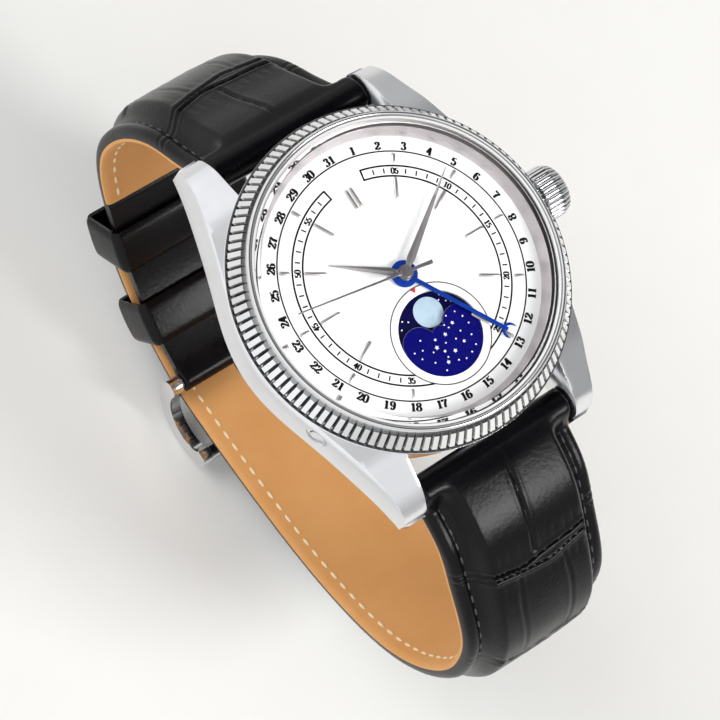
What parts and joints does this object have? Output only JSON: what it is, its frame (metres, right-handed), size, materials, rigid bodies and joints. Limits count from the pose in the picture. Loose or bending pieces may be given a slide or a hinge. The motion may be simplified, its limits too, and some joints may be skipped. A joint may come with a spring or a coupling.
{
  "type": "wrist watch",
  "caption": "Round steel wrist watch with fluted bezel, moon phase opening, pointer date and a buckled leather strap.",
  "frame": {"origin": "centre of the case back's outer face, under the middle of the dial", "axes": "+Z from the case back towards the dial, +Y towards 12 o'clock, +X towards the crown"},
  "size_m": [0.045, 0.0816, 0.0701],
  "materials": {
    "steel_polished": "mirror polished stainless steel",
    "steel_satin": "satin stainless steel",
    "sapphire": "clear sapphire",
    "seal": "black sealing ring",
    "dial_silver": "opaline silvered dial",
    "marker_steel": "faceted polished steel",
    "hand_steel": "faceted polished steel",
    "hand_blue": "blue lacquered steel",
    "moon_sky": "dark blue lacquer",
    "moon_silver": "bright silvered moon",
    "plate_rhodium": "rhodium plated plate with fine graining",
    "wheel_brass": "gilt wheel",
    "hardened_steel": "hardened steel",
    "ruby": "synthetic ruby bearing",
    "leather_black": "matt black pressed leather",
    "leather_tan": "tan lining leather"
  },
  "bodies": {
    "case": {"case_body": "steel_polished", "case_back": "steel_polished", "back_crystal": "sapphire", "case_back_gasket": "seal", "bezel": "steel_polished", "crystal": "sapphire", "crystal_gasket": "seal", "rehaut_ring": "steel_polished", "corrector_sleeve": "steel_polished", "crown_tube": "steel_polished", "dial": "dial_silver", "hour_markers": "marker_steel", "twelve_marker": "marker_steel", "moon_window_plate": "moon_sky", "mainplate": "plate_rhodium", "hairspring": "hardened_steel", "balance_cock": "plate_rhodium", "barrel_bridge": "plate_rhodium", "train_bridge": "plate_rhodium", "jewels": "ruby", "movement_screws": "hardened_steel", "rotor_bearing": "hardened_steel", "movement_ring": "plate_rhodium", "spring_bar_12": "hardened_steel", "spring_bar_6": "hardened_steel", "buckle_strap_leather": "leather_black", "buckle_strap_lining": "leather_tan", "tail_strap_leather": "leather_black", "tail_strap_lining": "leather_tan", "fixed_keeper": "leather_black"},
    "stem_drive": {"winding_pinion": "hardened_steel"},
    "crown": {"crown": "steel_polished", "crown_gasket": "seal", "winding_stem": "hardened_steel"},
    "crown_wheel": {"crown_wheel": "hardened_steel"},
    "ratchet": {"ratchet_wheel": "hardened_steel"},
    "minute_train": {"centre_wheel": "wheel_brass", "cannon_pinion": "wheel_brass", "minute_hand": "hand_steel"},
    "hour_train": {"hour_wheel": "wheel_brass", "hour_hand": "hand_steel"},
    "minute_wheel": {"minute_wheel": "wheel_brass"},
    "third_wheel": {"third_wheel": "wheel_brass"},
    "seconds_train": {"fourth_wheel": "wheel_brass", "seconds_hand": "hand_steel"},
    "escape_wheel": {"escape_wheel": "hardened_steel"},
    "barrel": {"mainspring_barrel": "wheel_brass"},
    "pallets": {"pallet_fork": "hardened_steel"},
    "balance": {"balance_wheel": "wheel_brass"},
    "date_display": {"date_wheel": "wheel_brass", "date_hand": "hand_blue"},
    "moon_display": {"moon_disc": "moon_sky", "moons": "moon_silver"},
    "rotor": {"rotor": "wheel_brass"},
    "corrector": {"corrector_pusher": "steel_polished"},
    "buckle": {"buckle_frame": "steel_polished", "buckle_bar": "hardened_steel"},
    "tongue": {"buckle_tongue": "steel_polished"},
    "free_keeper": {"free_keeper": "leather_black"}
  },
  "joints": [
    {"name": "crown_turn", "type": "hinge", "parent": "case", "child": "stem_drive", "pos_m": [0.0113, 0, 0.0053], "axis": [1, 0, 0], "continuous": true},
    {"name": "crown_pull", "type": "slide", "parent": "stem_drive", "child": "crown", "axis": [1, 0, 0], "range_m": [0, 0.002]},
    {"name": "crown_wheel_turn", "type": "hinge", "parent": "case", "child": "crown_wheel", "pos_m": [0.0086, 0.001, 0.00325], "axis": [0, 0, 1], "continuous": true},
    {"name": "ratchet_turn", "type": "hinge", "parent": "case", "child": "ratchet", "pos_m": [0.00405, 0.00483, 0.00325], "axis": [0, 0, 1], "continuous": true},
    {"name": "minute_turn", "type": "hinge", "parent": "case", "child": "minute_train", "pos_m": [0, 0, 0.009], "axis": [0, 0, -1], "continuous": true},
    {"name": "hour_turn", "type": "hinge", "parent": "case", "child": "hour_train", "pos_m": [0, 0, 0.009], "axis": [0, 0, -1], "continuous": true},
    {"name": "minute_wheel_turn", "type": "hinge", "parent": "case", "child": "minute_wheel", "pos_m": [-0.00144, 0.00249, 0.0075], "axis": [0, 0, -1], "continuous": true},
    {"name": "third_turn", "type": "hinge", "parent": "case", "child": "third_wheel", "pos_m": [-0.0055, -0.002, 0.0045], "axis": [0, 0, -1], "continuous": true},
    {"name": "seconds_turn", "type": "hinge", "parent": "case", "child": "seconds_train", "pos_m": [0, 0, 0.0042], "axis": [0, 0, -1], "continuous": true},
    {"name": "escape_turn", "type": "hinge", "parent": "case", "child": "escape_wheel", "pos_m": [-0.00049, -0.00558, 0.0053], "axis": [0, 0, -1], "continuous": true},
    {"name": "barrel_turn", "type": "hinge", "parent": "case", "child": "barrel", "pos_m": [0.00405, 0.00483, 0.0059], "axis": [0, 0, -1], "continuous": true},
    {"name": "pallet_rock", "type": "hinge", "parent": "case", "child": "pallets", "pos_m": [0.00175, -0.00701, 0.0053], "axis": [0, 0, -1], "range_deg": [-4, 4]},
    {"name": "balance_swing", "type": "hinge", "parent": "case", "child": "balance", "pos_m": [0.005, -0.00866, 0.0043], "axis": [0, 0, -1], "range_deg": [-270, 270]},
    {"name": "date_turn", "type": "hinge", "parent": "case", "child": "date_display", "pos_m": [0, 0, 0.008], "axis": [0, 0, -1], "continuous": true},
    {"name": "moon_turn", "type": "hinge", "parent": "case", "child": "moon_display", "pos_m": [0, -0.00784, 0.0083], "axis": [0, 0, -1], "continuous": true},
    {"name": "rotor_turn", "type": "hinge", "parent": "case", "child": "rotor", "pos_m": [0, 0, 0.002], "axis": [0, 0, -1], "continuous": true},
    {"name": "corrector_push", "type": "slide", "parent": "case", "child": "corrector", "axis": [0.8643, 0.503, 0], "range_m": [0, 0.0006], "stiffness_N_per_m": 100},
    {"name": "buckle_swing", "type": "hinge", "parent": "case", "child": "buckle", "pos_m": [0, 0.0084, -0.0494], "axis": [1, 0, 0], "range_deg": [0, 20]},
    {"name": "tongue_swing", "type": "hinge", "parent": "buckle", "child": "tongue", "pos_m": [0, 0.0084, -0.0494], "axis": [1, 0, 0], "range_deg": [0, 12]},
    {"name": "keeper_slide", "type": "hinge", "parent": "case", "child": "free_keeper", "pos_m": [0, -0.01082, 0.00104], "axis": [1, 0, 0], "range_deg": [-2, 2]}
  ],
  "couplings": [
    {"joint": "crown_wheel_turn", "follows": "crown_turn", "ratio": 0.6},
    {"joint": "ratchet_turn", "follows": "crown_turn", "ratio": -0.5},
    {"joint": "hour_turn", "follows": "minute_turn", "ratio": 0.083333},
    {"joint": "minute_wheel_turn", "follows": "minute_turn", "ratio": -0.33333},
    {"joint": "third_turn", "follows": "minute_turn", "ratio": -8},
    {"joint": "seconds_turn", "follows": "minute_turn", "ratio": 60},
    {"joint": "escape_turn", "follows": "minute_turn", "ratio": -720},
    {"joint": "barrel_turn", "follows": "minute_turn", "ratio": -0.125}
  ]
}
